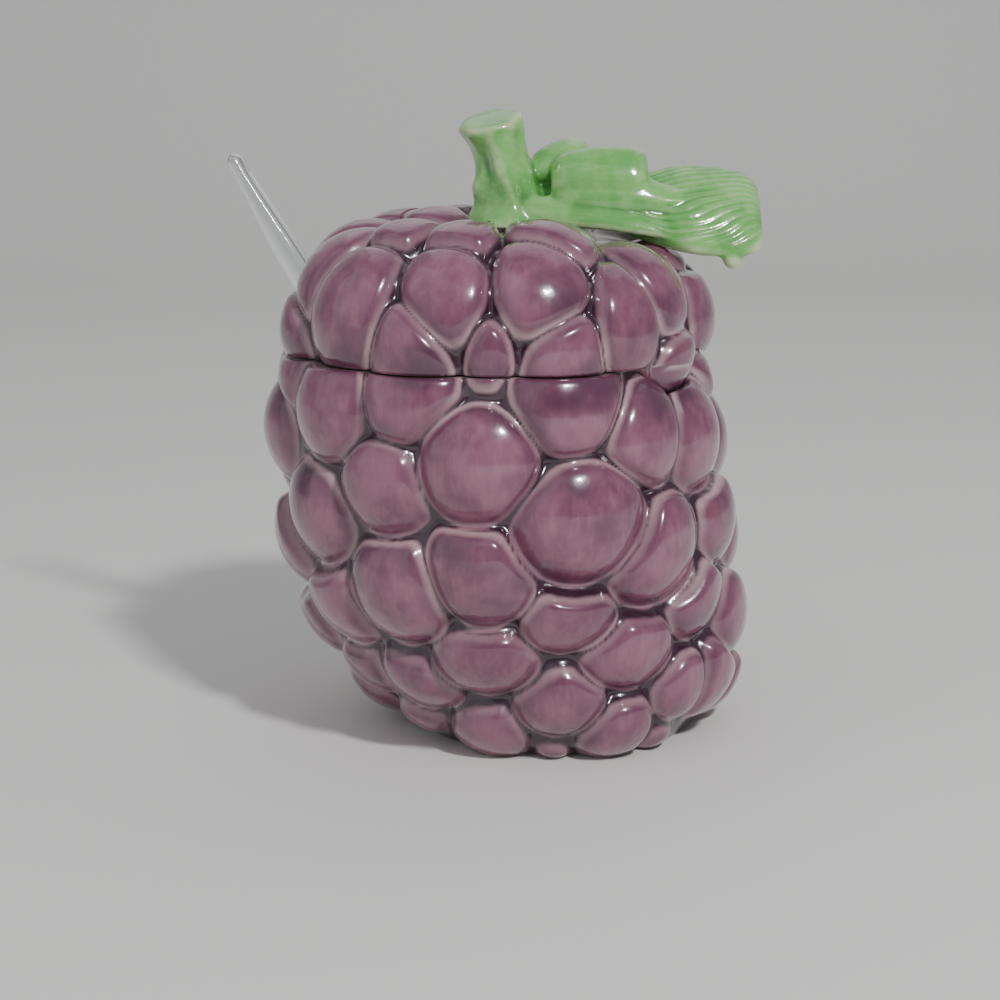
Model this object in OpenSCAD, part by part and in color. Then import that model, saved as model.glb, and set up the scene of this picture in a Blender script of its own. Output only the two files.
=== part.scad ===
/* [Pot] */
// Height of the pot from its foot to the seam
pot_h = 78; // [70:1:90]
// How far the belly leans to the left of the foot
lean = 12.5; // [6:0.5:14]
// Radius of the swell at the tail of the bunch
tail_r = 36; // [33:0.5:38]
// Radius of the swell at the hip
hip_r = 41; // [39:0.5:43]
// Radius of the swell at the belly
belly_r = 43.5; // [41:0.5:45]
// Radius of the swell at the shoulder
shoulder_r = 43; // [41:0.5:44]
// Thickness of the cast wall
wall = 4.5; // [3.5:0.5:6]
// Thickness of the floor
floor_t = 5; // [4:0.5:8]
// How much smaller the mouth's radius is than the shoulder's
lip_w = 6.5; // [6:0.5:9]
// How far the tallest rim grape stands above the seam
rim_rise = 5; // [3:0.5:6]

/* [Grapes] */
// Radius of a full size grape
grape_r = 14.5; // [12:0.5:16]
// How far a full size grape stands out of the body
proud = 5; // [3:0.5:6]

/* [Lid] */
// Outer radius of the lid between its grapes
lid_r = 40.6; // [39:0.2:42]
// Radius of the lid's rounded shoulder
lid_round = 20; // [16:0.5:20]
// Height of the shoulder's centre above the seam
lid_side = 3; // [2:0.5:6]
// How much the top of the lid is domed
lid_dome = 2.6; // [1:0.2:4]
// Thickness of the lid
lid_wall = 4.5; // [3.5:0.5:6]
// Height of the solid rim where the lid sits
seat_t = 4; // [3:0.5:6]
// Width of the locating ring under the lid
ring_w = 3.4; // [2.5:0.1:5]
// Depth of the locating ring below the seam
ring_h = 5; // [3:0.5:8]
// Gap between the locating ring and the mouth
ring_gap = 0.6; // [0.4:0.1:1]
// Gap where the lid's low grape drops into the rim
key_gap = 0.5; // [0.4:0.1:1]
// Radius of the flat pad under the stem
pad_r = 9; // [8:0.5:10]
// Height of the pad's top above the seam
pad_z = 26.5; // [26:0.5:28]
// Width of the slot for the spoon
slot_w = 16; // [10:0.5:18]
// Distance from the middle of the spoon's handle to the slot's roof
slot_roof = 8.5; // [6:0.5:11]

/* [Stem] */
// Radius of the stem at its foot
stem_foot_r = 8.4; // [7:0.1:9]
// Radius of the stem at mid height
stem_r = 5.9; // [5:0.1:7]
// Height of the stem
stem_h = 22; // [18:0.5:26]
// How far the stem leans to the left at its top
stem_lean = 3.4; // [2:0.1:6]
// Radius of the knots on the stem
knot_r = 3.2; // [2.5:0.1:4]
// Distance from the lid's middle to the stem's
stem_off = 2; // [0:0.5:3]
// Slant of the stump's cut top, in degrees
stem_slant = 12; // [6:1:18]
// Length of the bosses that the leaf is joined to
branch_l = 9; // [8.5:0.5:11]
// Radius of the bosses that the leaf is joined to
branch_r = 4.4; // [3.5:0.1:5]

/* [Leaf] */
// Length of the leaf from its joint to its end
leaf_l = 42.5; // [36:0.5:48]
// Half width of the leaf at its widest
leaf_w = 12; // [9:0.5:13]
// Half thickness of the leaf
leaf_t = 3; // [2:0.1:3.5]
// Tilt of the leaf, from its low front to its high back
leaf_tilt = 44; // [38:1:52]
// Radius of the curled tip under the leaf's end
curl_r = 2; // [1.5:0.1:2.5]

/* [Spoon] */
// Length of the handle above the rim
spoon_up = 46; // [38:1:52]
// Gap between the spoon's low end and the floor
spoon_foot = 1.2; // [1:0.1:4]
// Angle of the handle at the rim, from level
spoon_a = 55; // [52:0.5:58]
// How fast the handle curves, in degrees for each millimetre
spoon_bend = 0.1; // [0:0.01:0.1]
// Radius of the handle where it is thickest
handle_r = 3.1; // [2.6:0.1:3.3]
// Radius of the handle's tip
tip_r = 1.8; // [1.5:0.1:2.4]
// Gap between the handle and the mouth's edge
spoon_gap = 0.4; // [0.3:0.1:0.8]
// Radius of the spoon's bowl, seen from above
bowl_r = 11.5; // [9:0.5:12]
// Thickness of the bowl
bowl_t = 1.8; // [1.4:0.1:2.4]

/* [Hidden] */
$fn = 96;
eps = 0.01;
grape_fn = 64;
purple = [0.49, 0.32, 0.41];
green = [0.50, 0.76, 0.48];
clear = [0.85, 0.90, 0.92, 0.5];

// swells of the bunch: height as a share of the pot, lean as a share, radius
swell_shares = [[0.26, 0, tail_r], [0.46, 0.56, hip_r], [0.59, 0.84, belly_r], [0.82, 1, shoulder_r]];
swells = [for (s = swell_shares) [-lean * s[1], 0, pot_h * s[0], s[2]]];
axis_shares = [[0, 0], [0.26, 0], [0.46, 0.56], [0.59, 0.84], [0.82, 1], [1, 1]];

// grapes of the pot: azimuth from the front, height as a share of the pot, size as a share
front_shares = [
    [-70, 0.97, 0.80], [-84, 0.80, 1.00], [-78, 0.54, 1.00], [-80, 0.31, 1.00], [-80, 0.12, 0.85],
    [-45, 0.91, 1.00], [-53, 0.66, 1.05], [-52, 0.42, 1.00], [-58, 0.25, 0.90],
    [-21, 0.95, 1.00], [-28, 0.72, 1.00], [-30, 0.47, 1.05], [-38, 0.25, 0.95], [-46, 0.11, 0.75],
    [-2, 0.99, 0.50], [-4, 0.79, 1.05], [-7, 0.54, 1.05], [-17, 0.33, 1.00], [-23, 0.11, 0.85],
    [17, 0.93, 1.05], [19, 0.68, 1.15], [11, 0.43, 1.05], [0, 0.21, 0.95], [-2, 0.06, 0.40],
    [38, 0.83, 0.95], [38, 0.57, 1.10], [25, 0.30, 1.00], [19, 0.10, 0.80],
    [60, 0.79, 1.05], [50, 0.42, 1.00], [40, 0.20, 0.80], [36, 0.07, 0.50],
    [72, 0.58, 1.00], [76, 0.34, 1.00], [60, 0.20, 0.95], [84, 0.14, 0.90], [92, 0.78, 1.00]
];
back_shares = [
    [96, 0.50, 1.00], [101, 0.28, 0.95], [116, 0.92, 0.95], [115, 0.66, 1.05], [118, 0.41, 1.00],
    [120, 0.17, 0.90], [138, 0.80, 1.05], [140, 0.54, 1.00], [139, 0.29, 1.00], [146, 0.09, 0.70],
    [161, 0.93, 1.00], [163, 0.67, 1.05], [160, 0.41, 1.00], [164, 0.18, 0.90], [186, 0.81, 1.00],
    [184, 0.55, 1.05], [187, 0.30, 1.00], [184, 0.08, 0.70], [209, 0.94, 1.05], [208, 0.68, 1.00],
    [211, 0.42, 1.05], [208, 0.18, 0.90], [232, 0.80, 1.00], [233, 0.55, 1.05], [230, 0.30, 0.95],
    [232, 0.09, 0.70], [255, 0.93, 0.95], [256, 0.67, 1.05], [257, 0.42, 1.00], [256, 0.20, 0.90]
];
// grapes of the lid: azimuth from the front, place along its side as a share, size as a share
lid_shares = [
    [-74, 0.12, 0.85], [-42, 0.24, 1.10], [-21, 0.10, 0.95], [-1, 0.09, 0.72], [18, 0.09, 0.96],
    [-13, 0.26, 1.00], [14, 0.28, 1.05], [36, 0.18, 1.00], [-64, 0.36, 1.00], [-40, 0.52, 1.00],
    [-11, 0.48, 1.05], [20, 0.46, 1.10], [53, 0.29, 1.00], [84, 0.18, 0.95], [107, 0.14, 1.10],
    [131, 0.20, 1.05], [155, 0.12, 1.00], [178, 0.20, 1.10], [202, 0.13, 1.00], [226, 0.21, 1.05],
    [84, 0.33, 0.72], [112, 0.37, 0.95], [140, 0.50, 1.05], [172, 0.50, 1.00], [204, 0.46, 1.05],
    [234, 0.54, 1.00], [266, 0.46, 0.90], [-80, 0.76, 0.90], [222, 0.78, 0.80], [172, 0.78, 0.85],
    [122, 0.76, 0.85]
];
// the lid's low grape at the right and the rim grape that stands up behind it
key_az = 57;
key_share = 0.045;
key_size = 0.78;
rise_az = 77;
rise_size = 0.85;

slab = 200;
lid_top = pot_h + lid_side + lid_round;
dome_r = ((lid_r - lid_round) ^ 2 + lid_dome ^ 2) / (2 * lid_dome);
arc_l = lid_round * PI / 2;
side_l = lid_side + arc_l + lid_r - lid_round;
mouth_r = shoulder_r - lip_w;
ring_r = mouth_r - ring_gap;
spoon_az = -105;
// the handle is a little less steep inside, so its lower length follows its mean slope
spoon_down = (pot_h - floor_t - spoon_foot) / sin(spoon_a - 0.62 * (pot_h - floor_t) * spoon_bend);
rim_r = mouth_r - spoon_gap - handle_r / sin(spoon_a);
stem_x = -lean + stem_off;
joint_x = stem_x + branch_l;
stem_z = pot_h + pad_z;

function polar(a, r, z) = [r * sin(a), -r * cos(a), z];
function axis_x(z) = -lean * lookup(z / pot_h, axis_shares);
function hit(a, z, s) = let (
        ox = s[0] - axis_x(z),
        oz = s[2] - z,
        b = sin(a) * ox,
        q = b * b - ox * ox - oz * oz + s[3] * s[3]
    ) q > 0 ? b + sqrt(q) : 0;
// a point of the pot's body and the direction out of it there
function pot_place(a, z) = let (
        hits = [for (s = swells) hit(a, z, s)],
        far = max(hits),
        s = swells[search(far, hits)[0]],
        p = [axis_x(z), 0, 0] + polar(a, far, z)
    ) [p, (p - [s[0], s[1], s[2]]) / s[3]];
// a point of the lid's body and the direction out of it there
function lid_place(a, share) = let (
        d = share * side_l,
        e = min(max(d - lid_side, 0), arc_l) / lid_round * 180 / PI,
        r = lid_r - lid_round + lid_round * cos(e) - max(d - lid_side - arc_l, 0),
        z = pot_h + min(d, lid_side) + lid_round * sin(e)
    ) [[-lean, 0, 0] + polar(a, r, z), polar(a, cos(e), sin(e))];
function grape_at(place, size) = [place[0] + place[1] * (proud - grape_r) * size, grape_r * size];

module ball(g, more = 0) {
    translate(g[0]) sphere(g[1] + more, $fn = grape_fn);
}

module swell_body(more) {
    for (s = swells) {
        translate([s[0], s[1], s[2]]) sphere(s[3] + more);
    }
}

module above(z, up = slab) {
    translate([-slab, -slab, z]) cube([2 * slab, 2 * slab, up]);
}

key_grape = grape_at(lid_place(key_az, key_share), key_size);
rise_grape = let (g = grape_at(lid_place(rise_az, 0), rise_size)) [
    [g[0][0], g[0][1], pot_h + rim_rise - g[1]],
    g[1]
];

module pot() {
    color(purple)
    difference() {
        union() {
            intersection() {
                union() {
                    swell_body(0);
                    for (g = front_shares) {
                        ball(grape_at(pot_place(g[0], g[1] * pot_h), g[2]));
                    }
                    for (g = back_shares) {
                        ball(grape_at(pot_place(g[0], g[1] * pot_h), g[2]));
                    }
                }
                above(0, pot_h);
            }
            ball(rise_grape);
        }
        intersection() {
            swell_body(-wall);
            above(floor_t);
        }
        translate([-lean, 0, pot_h - wall * 3]) cylinder(h = slab, r = mouth_r);
        ball(key_grape, key_gap);
        translate(key_grape[0]) cylinder(h = slab, r = key_grape[1] + key_gap);
        // the rim is cleared for the lid wherever the rim grape would stand under it
        translate([-lean, 0, pot_h]) cylinder(h = slab, r = mouth_r + wall * 0.6);
    }
}

module lid_profile(in) {
    r = lid_r - in;
    translate([lid_r - lid_round, pot_h + lid_side]) circle(lid_round - in);
    translate([0, pot_h - slab / 8]) square([lid_r - lid_round, slab / 8 + lid_side + lid_round - in]);
    translate([0, pot_h - slab / 8]) square([r, slab / 8 + lid_side]);
}

module lid_body(in) {
    translate([-lean, 0, 0]) {
        rotate_extrude() intersection() {
            lid_profile(in);
            translate([0, pot_h - slab / 8]) square(slab);
        }
        intersection() {
            translate([0, 0, lid_top + lid_dome - dome_r]) sphere(dome_r - in);
            translate([0, 0, lid_top - lid_wall]) cylinder(h = slab, r = lid_r - lid_round);
        }
    }
}

// the slot runs out along the handle and is open below, so the lid lifts off the spoon
module spoon_slot() {
    reach = lid_r * 0.5;
    near_r = rim_r - reach * 0.55;
    far_r = rim_r + reach * 1.2;
    // its roof is parallel to the handle
    over = slot_roof / cos(spoon_a);
    near_z = pot_h + (near_r - rim_r) * tan(spoon_a) + over;
    far_z = pot_h + (far_r - rim_r) * tan(spoon_a) + over;
    foot_z = min(near_z, pot_h - ring_h) - ring_h;
    translate([-lean, 0, 0]) rotate(spoon_az - 90)
        translate([0, slot_w / 2, 0]) rotate([90, 0, 0]) linear_extrude(slot_w) polygon([
            [near_r, foot_z],
            [far_r, foot_z],
            [far_r, far_z],
            [near_r, near_z]
        ]);
}

module lid() {
    color(purple)
    difference() {
        union() {
            difference() {
                union() {
                    lid_body(0);
                    for (g = lid_shares) {
                        ball(grape_at(lid_place(g[0], g[1]), g[2]));
                    }
                    translate([stem_x, 0, lid_top]) cylinder(h = stem_z - lid_top, r = pad_r);
                }
                above(pot_h - slab, slab);
                lid_body(lid_wall + eps);
                ball(rise_grape, key_gap);
                translate([stem_x, 0, stem_z]) cylinder(h = slab, r = pad_r + key_gap);
            }
            difference() {
                ball(key_grape);
                translate([-lean, 0, pot_h - slab / 2]) cylinder(h = slab, r = lid_r - lid_wall);
            }
            difference() {
                union() {
                    translate([-lean, 0, pot_h]) cylinder(h = seat_t, r = lid_r);
                    translate([-lean, 0, pot_h - ring_h]) cylinder(h = ring_h + seat_t, r = ring_r);
                }
                translate([-lean, 0, pot_h - slab / 2]) cylinder(h = slab, r = ring_r - ring_w);
                ball(rise_grape, key_gap);
            }
        }
        spoon_slot();
    }
}

module stem() {
    top = [stem_x - stem_lean, 0, stem_z + stem_h - stem_r];
    mid = [stem_x - stem_lean * 0.2, 0, stem_z + stem_h * 0.36];
    tilt = atan((mid[0] - top[0]) / (top[2] - mid[2]));
    color(green)
    difference() {
        union() {
            translate([stem_x, 0, stem_z])
                cylinder(h = mid[2] - stem_z, r1 = stem_foot_r, r2 = stem_r * 0.96);
            translate(mid) sphere(stem_r * 1.1);
            translate(mid) rotate([0, -tilt, 0]) cylinder(h = norm(top - mid), r = stem_r * 0.97);
            translate(top) sphere(stem_r * 1.1);
            translate([top[0] - stem_r * 0.7, stem_r * 0.15, top[2] + stem_r * 0.12]) sphere(knot_r);
            translate([mid[0] - stem_r * 0.8, -stem_r * 0.25, mid[2] - stem_r * 0.3]) sphere(knot_r);
            for (up = [0.3, 0.54]) {
                translate([stem_x, 0, stem_z + stem_h * up]) rotate([0, 90, 0])
                    cylinder(h = joint_x - stem_x, r = branch_r);
            }
        }
        // the top of the stump is sliced off at a slant
        translate([top[0], 0, top[2] + stem_r * 0.82]) rotate([0, -stem_slant, 0]) above(0);
    }
}

// one rounded slice of a leaf: place, half width, half thickness, tilt and sag
function slice(s, n) = [for (i = [0 : n - 1]) let (
        t = 360 * i / n,
        u = s[3] * sign(cos(t)) * abs(cos(t)) ^ 0.85,
        v = s[4] * sign(sin(t)) * abs(sin(t)) ^ 0.85 - s[6] * (u / s[3]) ^ 2
    ) [s[0], s[1] + u * cos(s[5]) - v * sin(s[5]), s[2] + u * sin(s[5]) + v * cos(s[5])]];

module blade(slices, n) {
    last = len(slices) - 1;
    points = [for (s = slices) each slice(s, n)];
    sides = [for (k = [0 : last - 1], i = [0 : n - 1]) let (
            a = k * n + i,
            b = k * n + (i + 1) % n
        ) each [[a, a + n, b], [b, a + n, b + n]]];
    caps = [[for (i = [0 : n - 1]) i], [for (i = [n - 1 : -1 : 0]) last * n + i]];
    polyhedron(points, concat(sides, caps));
}

// the blade, its folded lobe and its back lobe, each as slices along the leaf's length:
// place along, back and up as shares, then half width, half thickness, tilt and sag as shares
blade_shares = [
    [-0.04, 0.02, 0.09, 0.36, 0.80, 1.00, 0.00], [0.10, 0.00, 0.08, 0.38, 0.80, 1.00, 0.05],
    [0.28, -0.01, 0.07, 0.46, 0.85, 1.05, 0.10], [0.46, -0.03, 0.06, 0.66, 1.00, 1.05, 0.20],
    [0.62, -0.06, 0.065, 0.92, 1.00, 1.00, 0.35], [0.76, -0.06, 0.055, 0.98, 1.00, 1.00, 0.40],
    [0.89, -0.06, 0.045, 0.94, 0.95, 1.00, 0.35], [0.97, -0.06, 0.025, 0.80, 0.75, 1.00, 0.20],
    [1.00, -0.06, 0.01, 0.60, 0.35, 1.00, 0.00]
];
fold_shares = [
    [-0.04, -0.09, 0.15, 0.40, 1.00, 1.35, 0.00], [0.06, -0.09, 0.165, 0.56, 1.30, 1.35, 0.10],
    [0.20, -0.09, 0.17, 0.64, 1.35, 1.35, 0.15], [0.34, -0.09, 0.17, 0.65, 1.30, 1.35, 0.15],
    [0.42, -0.09, 0.17, 0.58, 1.10, 1.35, 0.10], [0.46, -0.09, 0.165, 0.40, 0.60, 1.35, 0.00]
];
back_lobe_shares = [
    [-0.10, 0.05, 0.22, 0.26, 0.60, 0.80, 0.00], [-0.05, 0.05, 0.235, 0.36, 0.90, 0.80, 0.05],
    [0.06, 0.05, 0.24, 0.42, 1.10, 0.80, 0.10], [0.16, 0.05, 0.235, 0.40, 1.00, 0.80, 0.10],
    [0.24, 0.05, 0.21, 0.28, 0.60, 0.80, 0.00]
];

function slices_of(table) = [for (t = table) [
        joint_x + leaf_l * t[0],
        leaf_l * t[1],
        stem_z + leaf_l * t[2],
        leaf_w * t[3],
        leaf_t * t[4],
        leaf_tilt * t[5],
        leaf_t * t[6]
    ]];

module leaf() {
    color(green)
    intersection() {
        union() {
            blade(slices_of(blade_shares), 16);
            blade(slices_of(fold_shares), 14);
            blade(slices_of(back_lobe_shares), 12);
            translate([joint_x + leaf_l * 0.88, -leaf_l * 0.22, stem_z - leaf_l * 0.175]) {
                sphere(curl_r, $fn = 48);
                cylinder(h = curl_r * 1.6, r = curl_r * 0.9, $fn = 48);
            }
        }
        translate([joint_x, -slab, stem_z - slab]) cube([slab, 2 * slab, 2 * slab]);
    }
}

// the handle's centre line: it passes the rim at rim_r and steepens towards its tip
function spoon_at(s) = let (a = spoon_a + spoon_bend * s / 2) [rim_r + s * cos(a), pot_h + s * sin(a)];
bowl_at = spoon_down - bowl_r;
handle_from = -(bowl_at - bowl_r * 0.84);
// how thick the handle is along its length, from the bowl to the tip, as shares
thick_shares = [[-1, 0.50], [-0.75, 0.58], [-0.4, 0.86], [0, 1], [0.35, 1], [0.7, 0.68], [1, 0.3]];
station_shares = [-1, -0.85, -0.7, -0.5, -0.3, -0.1, 0.1, 0.3, 0.5, 0.65, 0.8, 0.9];
function handle_half(s) = let (
        share = s < 0 ? s / -handle_from : s / spoon_up,
        body = tip_r + (handle_r - tip_r) * lookup(share, thick_shares),
        left = min(spoon_up - s, tip_r)
    ) body * sqrt(max(1 - (1 - left / tip_r) ^ 2, 0));
stations = concat(
    [for (k = station_shares) k < 0 ? -k * handle_from : k * spoon_up],
    [for (e = [0 : 15 : 75]) spoon_up - tip_r + tip_r * sin(e)]
);

module handle(n) {
    last = len(stations) - 1;
    points = [for (s = stations, i = [0 : n - 1]) let (
            p = spoon_at(s),
            a = spoon_a + spoon_bend * s,
            h = handle_half(s),
            t = 360 * i / n
        ) [p[0] - h * sin(t) * sin(a), h * cos(t), p[1] + h * sin(t) * cos(a)]];
    sides = [for (k = [0 : last - 1], i = [0 : n - 1]) let (
            a = k * n + i,
            b = k * n + (i + 1) % n
        ) each [[a, a + n, b], [b, a + n, b + n]]];
    caps = [[for (i = [0 : n - 1]) i], [for (i = [n - 1 : -1 : 0]) last * n + i]];
    polyhedron(points, concat(sides, caps));
}

module spoon() {
    cup_r = bowl_r * 1.3;
    cup_z = sqrt(cup_r ^ 2 - bowl_r ^ 2);
    cup = spoon_at(-bowl_at);
    color(clear)
    translate([-lean, 0, 0]) rotate(spoon_az - 90) {
        handle(20);
        translate([cup[0], 0, cup[1]]) rotate([0, -(spoon_a - spoon_bend * bowl_at), 0])
            difference() {
                intersection() {
                    translate([0, 0, cup_z]) sphere(cup_r);
                    translate([0, 0, -cup_r]) cylinder(h = cup_r, r = bowl_r);
                }
                translate([0, 0, cup_z]) sphere(cup_r - bowl_t);
            }
    }
}

pot();
lid();
stem();
leaf();
spoon();
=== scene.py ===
"""Looks of a glazed jam pot made as a leaning bunch of grapes: pot, lift-off lid, stem with a
folded leaf, and a clear spoon. Lengths are worked out in millimetres and put into metres at the end.
Azimuths run from the front of the pot towards its right."""

import math

import bmesh
import bpy
import numpy as np
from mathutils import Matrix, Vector


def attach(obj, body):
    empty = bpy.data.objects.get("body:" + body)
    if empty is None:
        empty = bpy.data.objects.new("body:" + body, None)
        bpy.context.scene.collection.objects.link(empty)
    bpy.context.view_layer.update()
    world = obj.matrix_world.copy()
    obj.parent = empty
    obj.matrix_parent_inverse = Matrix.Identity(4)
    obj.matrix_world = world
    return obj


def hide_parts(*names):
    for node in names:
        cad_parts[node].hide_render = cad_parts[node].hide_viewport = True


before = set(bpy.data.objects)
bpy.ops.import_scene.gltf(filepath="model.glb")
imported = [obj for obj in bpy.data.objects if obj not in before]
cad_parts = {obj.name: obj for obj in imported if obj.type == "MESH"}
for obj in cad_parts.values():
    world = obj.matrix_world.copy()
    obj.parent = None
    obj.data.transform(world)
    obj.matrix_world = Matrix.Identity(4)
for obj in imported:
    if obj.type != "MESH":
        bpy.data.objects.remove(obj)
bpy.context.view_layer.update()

# Sizes in millimetres and degrees, as in the CAD source
POT_H, LEAN, WALL, FLOOR = 78.0, 12.5, 4.5, 5.0
MOUTH_R, LID_R, ROUND, SIDE, DOME = 36.5, 40.6, 20.0, 3.0, 2.6
RING_R, RING_W, RING_H, KEY_GAP = 35.9, 3.4, 5.0, 0.5
GRAPE_R, PROUD, RIM_RISE = 14.5, 5.0, 5.0
STEM_X, STEM_Z, STEM_H, STEM_LEAN = -10.5, 104.5, 22.0, 3.4
JOINT_X, LEAF_L, LEAF_W, LEAF_T, LEAF_TILT = -1.5, 42.5, 12.0, 3.0, 44.0
SPOON_A, SPOON_BEND, SPOON_UP, SPOON_FOOT, SPOON_AZ = 55.0, 0.1, 46.0, 1.2, -105.0
HANDLE_R, TIP_R, BOWL_R, BOWL_T, SPOON_GAP = 3.1, 1.8, 11.5, 1.8, 0.4

# the body's four swells: lean and height as shares, then radius
SWELLS = np.array([[0, 0.26, 36.0], [0.56, 0.46, 41.0], [0.84, 0.59, 43.5], [1, 0.82, 43.0]])
# its middle line: height and lean as shares
AXIS = np.array([[0, 0], [0.26, 0], [0.46, 0.56], [0.59, 0.84], [0.82, 1], [1, 1]])

# Each grape: azimuth, height (or place along the lid's side) as a share, size as a share
POT_GRAPES = [
    (-70, .97, .80), (-84, .80, 1.00), (-78, .54, 1.00), (-80, .31, 1.00), (-80, .12, .85),
    (-48, .91, 1.00), (-57, .66, 1.05), (-55, .42, 1.00), (-61, .25, .92),
    (-23, .95, 1.00), (-30, .72, 1.00), (-32, .47, 1.05), (-41, .25, .97), (-48, .11, .78),
    (-2, .99, .55), (-4, .78, 1.05), (-7, .54, 1.05), (-18, .34, 1.04), (-25, .12, .92),
    (19, .93, 1.05), (20.5, .68, 1.15), (11, .44, 1.05), (0, .22, 1.00), (-2, .06, .50),
    (41, .82, .98), (40, .57, 1.10), (25, .31, 1.04), (19, .12, .90),
    (63, .79, 1.05), (53, .42, 1.00), (42, .20, .85), (36, .07, .55),
    (72, .58, 1.00), (76, .34, 1.00), (60, .20, .95), (84, .14, .90), (92, .78, 1.00),
    (96, .50, 1.00), (101, .28, .95), (116, .92, .95), (115, .66, 1.05), (118, .41, 1.00),
    (120, .17, .90), (138, .80, 1.05), (140, .54, 1.00), (139, .29, 1.00), (146, .09, .70),
    (161, .93, 1.00), (163, .67, 1.05), (160, .41, 1.00), (164, .18, .90), (186, .81, 1.00),
    (184, .55, 1.05), (187, .30, 1.00), (184, .08, .70), (209, .94, 1.05), (208, .68, 1.00),
    (211, .42, 1.05), (208, .18, .90), (232, .80, 1.00), (233, .55, 1.05), (230, .30, .95),
    (232, .09, .70), (255, .93, .95), (256, .67, 1.05), (257, .42, 1.00), (256, .20, .90),
]
LID_GRAPES = [
    (-74, .12, .85), (-44, .25, 1.10), (-23, .125, 1.00), (-1, .125, .80), (18, .12, 1.02),
    (-15, .30, 1.02), (13.5, .31, 1.07), (36, .19, 1.00), (-67, .36, 1.00), (-44, .52, 1.00),
    (-13, .51, 1.05), (21, .50, 1.10), (55, .29, .92), (84, .18, .95), (107, .14, 1.10),
    (131, .20, 1.05), (155, .12, 1.00), (178, .20, 1.10), (202, .13, 1.00), (226, .21, 1.05),
    (84, .33, .72), (112, .37, .95), (140, .50, 1.05), (172, .50, 1.00), (204, .46, 1.05),
    (234, .54, 1.00), (266, .46, .90), (-80, .76, .90), (222, .78, .80), (172, .78, .85),
    (122, .76, .85),
]
KEY = (57, .045, .78)   # the lid's low grape, which drops into the rim
RISE = (77, 0, .85)     # the rim grape that stands up behind it

# Sizes that follow from these
LID_TOP = POT_H + SIDE + ROUND
DOME_R = ((LID_R - ROUND) ** 2 + DOME ** 2) / (2 * DOME)   # of the large ball that the top is part of
ARC_L = ROUND * math.pi / 2   # length round the shoulder
SIDE_L = SIDE + ARC_L + LID_R - ROUND   # length from the seam to the middle of the top
RING_IN, RING_LOW = RING_R - RING_W, POT_H - RING_H
HALF_SUNK = 0.62   # about half the spoon's length in the pot, as a share of the pot's inner height
SPOON_DOWN = (POT_H - FLOOR - SPOON_FOOT) / math.sin(
    math.radians(SPOON_A - HALF_SUNK * (POT_H - FLOOR) * SPOON_BEND))
RIM_R = MOUTH_R - SPOON_GAP - HANDLE_R / math.sin(math.radians(SPOON_A))
SEAM_GAP = 0.35   # the thin dark line between pot and lid


# Numbers on whole arrays
def smooth(low, high, x):
    """0 below low, 1 above high, and the cubic 3t^2 - 2t^3 between them."""
    t = np.clip((x - low) / (high - low), 0, 1)
    return t * t * (3 - 2 * t)


def soft_min(a, b, width):
    """The smaller of a and b, with the corner between them rounded over width."""
    t = np.clip(0.5 + 0.5 * (b - a) / width, 0, 1)
    return b + (a - b) * t - width * t * (1 - t)


def round_turn(count):
    """Evenly spaced angles of one turn, in radians."""
    return np.arange(count) * 2 * math.pi / count


def polar(a, r, z):
    """Points at azimuth a (radians, from the front), radius r and height z."""
    return np.stack(np.broadcast_arrays(r * np.sin(a), -r * np.cos(a), z), -1)


def lid_polar(a, r, z):
    """The same round the middle line of mouth and lid."""
    return polar(a, r, z) - [LEAN, 0, 0]


def beside(x):
    """What shifts points sideways by x."""
    return np.stack(np.broadcast_arrays(x, 0, 0), -1)


def unit(v):
    """Vectors of length one."""
    return v / np.maximum(np.linalg.norm(v, axis=-1, keepdims=True), 1e-9)


def normal_of(place, u, v, du=1e-3, dv=1e-2):
    """Outward direction of the surface place(u, v): the cross product of its two slopes."""
    along = place(u + du, v) - place(u - du, v)
    up = place(u, v + dv) - place(u, v - dv)
    return unit(np.cross(along, up))


def mesh_piece(name, points, faces, material, attributes):
    """One mesh object from points in millimetres, with smooth faces and float attributes."""
    mesh = bpy.data.meshes.new(name)
    mesh.from_pydata(points * 0.001, [], faces)
    mesh.shade_smooth()
    for key, values in attributes.items():
        mesh.attributes.new(key, "FLOAT", "POINT").data.foreach_set(
            "value", np.ascontiguousarray(values, np.float32))
    mesh.materials.append(material)
    piece = bpy.data.objects.new(name, mesh)
    bpy.context.scene.collection.objects.link(piece)
    return piece


def closed_rings(rows):
    """Points, quads and end triangles of a closed skin. rows is rings x points x 3: neighbouring
    rings are joined by quads, and the first and last ring close on their middle points."""
    count, around = rows.shape[:2]
    points = np.concatenate([rows[0].mean(0)[None], rows.reshape(-1, 3), rows[-1].mean(0)[None]])
    here = 1 + np.arange(count * around).reshape(count, around)
    after = np.roll(here, -1, axis=1)
    quads = np.stack([here[:-1], after[:-1], after[1:], here[1:]], -1).reshape(-1, 4)
    first = np.stack([np.zeros(around, int), after[0], here[0]], -1)
    last = np.stack([here[-1], after[-1], np.full(around, count * around + 1)], -1)
    return points, quads, np.concatenate([first, last])


def skin(name, rows, material, attributes):
    """A closed piece from rings. The two end points take the mean of their ring's attributes."""
    points, quads, ends = closed_rings(rows)
    flat = {key: np.concatenate([[v[0].mean()], v.ravel(), [v[-1].mean()]])
            for key, v in attributes.items()}
    return mesh_piece(name, points, quads.tolist() + ends.tolist(), material, flat)


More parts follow.
